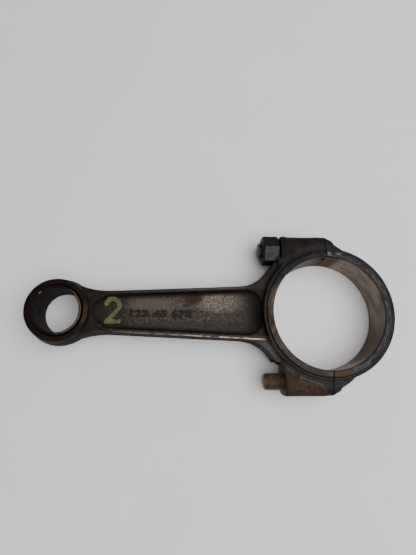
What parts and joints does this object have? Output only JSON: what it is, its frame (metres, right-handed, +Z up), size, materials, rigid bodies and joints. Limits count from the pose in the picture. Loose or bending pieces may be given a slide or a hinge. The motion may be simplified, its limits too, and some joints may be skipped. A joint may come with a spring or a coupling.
{
  "type": "connecting rod",
  "caption": "Forged engine connecting rod with a bushed small end, an I-section shank and a split big end whose cap is drawn up by studs and a hexagon nut.",
  "frame": {"origin": "under the middle of the whole rod, on the surface that it lies on", "axes": "+X along the shank from the small end to the big end, +Z up along both bore axes, +Y towards the stud that carries the nut"},
  "size_m": [0.1897, 0.0838, 0.021],
  "materials": {
    "forged_steel": "dark oily forged skin with brown varnish, machined bores and side faces",
    "cap_steel": "dark blue-grey machined faces on a dark forging",
    "stud_steel": "blackened, oily",
    "rusty_stud_steel": "brown surface rust on a fine thread",
    "nut_steel": "blackened, worn grey on the flats",
    "bush_bronze": "oil-stained bronze, worn bright at its edge",
    "marking_paint": "hand-painted yellow-green marking, chipped"
  },
  "bodies": {
    "rod": {"rod_body": "forged_steel", "small_end_bush": "bush_bronze"},
    "nut": {"nut_upper": "nut_steel"},
    "cap": {"bearing_cap": "cap_steel", "cap_stud_upper": "stud_steel", "cap_stud_lower": "rusty_stud_steel"}
  },
  "joints": [
    {"name": "cap_pull", "type": "slide", "parent": "rod", "child": "cap", "axis": [1, 0, 0], "range_m": [0, 0.011]},
    {"name": "nut_turn", "type": "hinge", "parent": "rod", "child": "nut", "pos_m": [0.03095, 0.0345, 0.0105], "axis": [-1, 0, 0], "range_deg": [0, 3960]}
  ],
  "couplings": [
    {"joint": "nut_turn", "follows": "cap_pull", "rad_per_m": 6283.2}
  ]
}
